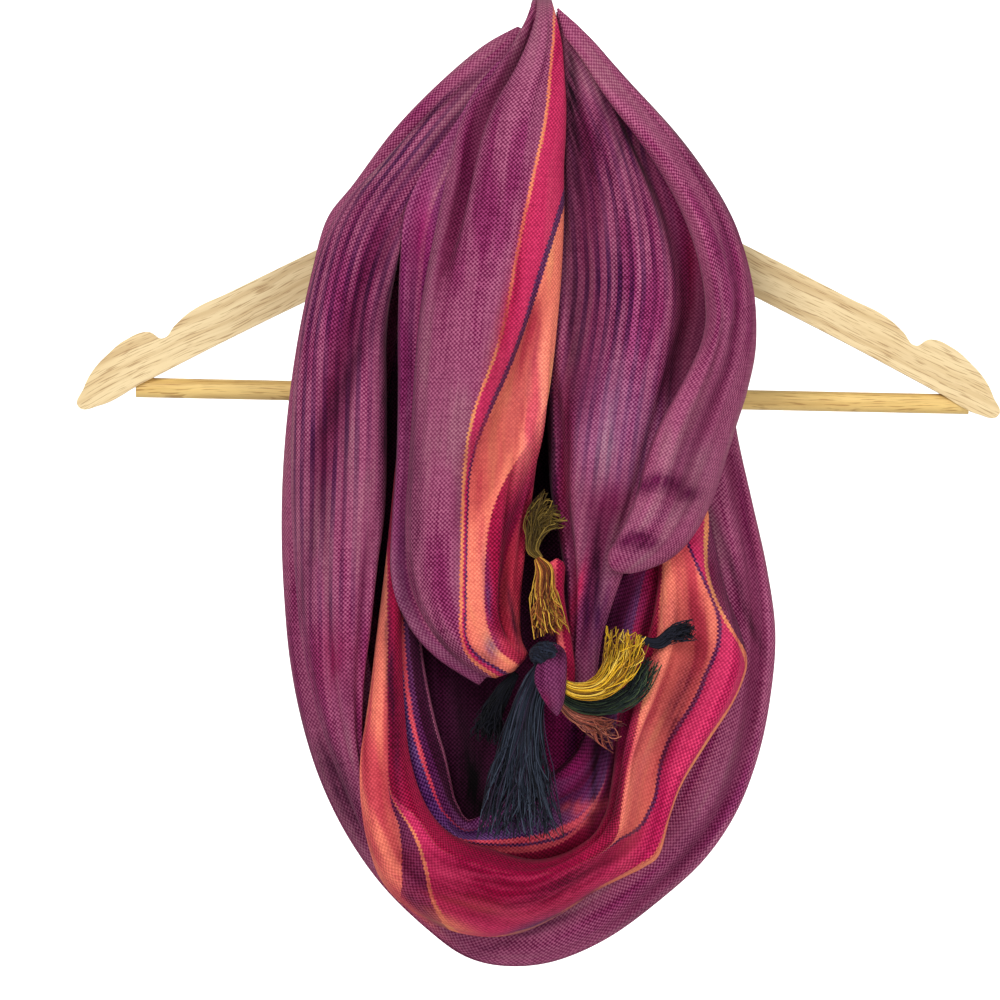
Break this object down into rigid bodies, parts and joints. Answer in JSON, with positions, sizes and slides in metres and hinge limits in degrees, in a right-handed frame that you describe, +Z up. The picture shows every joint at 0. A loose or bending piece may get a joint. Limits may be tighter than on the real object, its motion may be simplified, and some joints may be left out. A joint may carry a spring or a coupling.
{
  "type": "shawl on coat hanger",
  "caption": "Handwoven striped shawl in mauve, crimson and orange, looped, folded and knotted with coloured tassels, hung on a wooden coat hanger with a bar.",
  "frame": {"origin": "inner top of the hanger's hook, where it rests on a rail", "axes": "+Z up, -Y towards the viewer (the knotted front), +X to the viewer's right"},
  "size_m": [0.4452, 0.1085, 0.4676],
  "materials": {
    "loop_outer": "matt handwoven cotton with a soft sheen",
    "loop_back": "matt handwoven cotton with a soft sheen",
    "loop_inner": "matt handwoven cotton with a soft sheen",
    "loop_front": "matt handwoven cotton with a soft sheen",
    "loop_bowl": "matt handwoven cotton with a soft sheen",
    "end_side": "matt handwoven cotton with a soft sheen",
    "end_right": "matt handwoven cotton with a soft sheen",
    "end_left": "matt handwoven cotton with a soft sheen",
    "end_lobe": "matt handwoven cotton with a soft sheen",
    "knot_band": "matt handwoven cotton with a soft sheen",
    "knot_point": "matt handwoven cotton with a soft sheen",
    "knot": "matt bound thread",
    "tassel_navy": "soft twisted yarn",
    "tassel_navy_back": "soft twisted yarn",
    "tassel_olive": "soft twisted yarn",
    "tassel_ochre": "soft twisted yarn",
    "tassel_yellow": "soft twisted yarn",
    "tassel_green": "soft twisted yarn",
    "tassel_black": "soft twisted yarn",
    "tassel_brown": "soft twisted yarn",
    "hanger_arms": "pale satin-lacquered hardwood",
    "hanger_bar": "pale satin-lacquered hardwood, a little yellower",
    "hanger_hook": "bright steel wire"
  },
  "bodies": {
    "root": {"loop_outer": "loop_outer", "loop_back": "loop_back", "loop_inner": "loop_inner", "loop_front": "loop_front", "loop_bowl": "loop_bowl", "end_side": "end_side", "end_right": "end_right", "end_left": "end_left", "end_lobe": "end_lobe", "knot_band": "knot_band", "knot_point": "knot_point", "knot": "knot", "tassel_navy": "tassel_navy", "tassel_navy_back": "tassel_navy_back", "tassel_olive": "tassel_olive", "tassel_ochre": "tassel_ochre", "tassel_yellow": "tassel_yellow", "tassel_green": "tassel_green", "tassel_black": "tassel_black", "tassel_brown": "tassel_brown", "hanger_arms": "hanger_arms", "hanger_bar": "hanger_bar", "hanger_hook": "hanger_hook"}
  },
  "joints": []
}
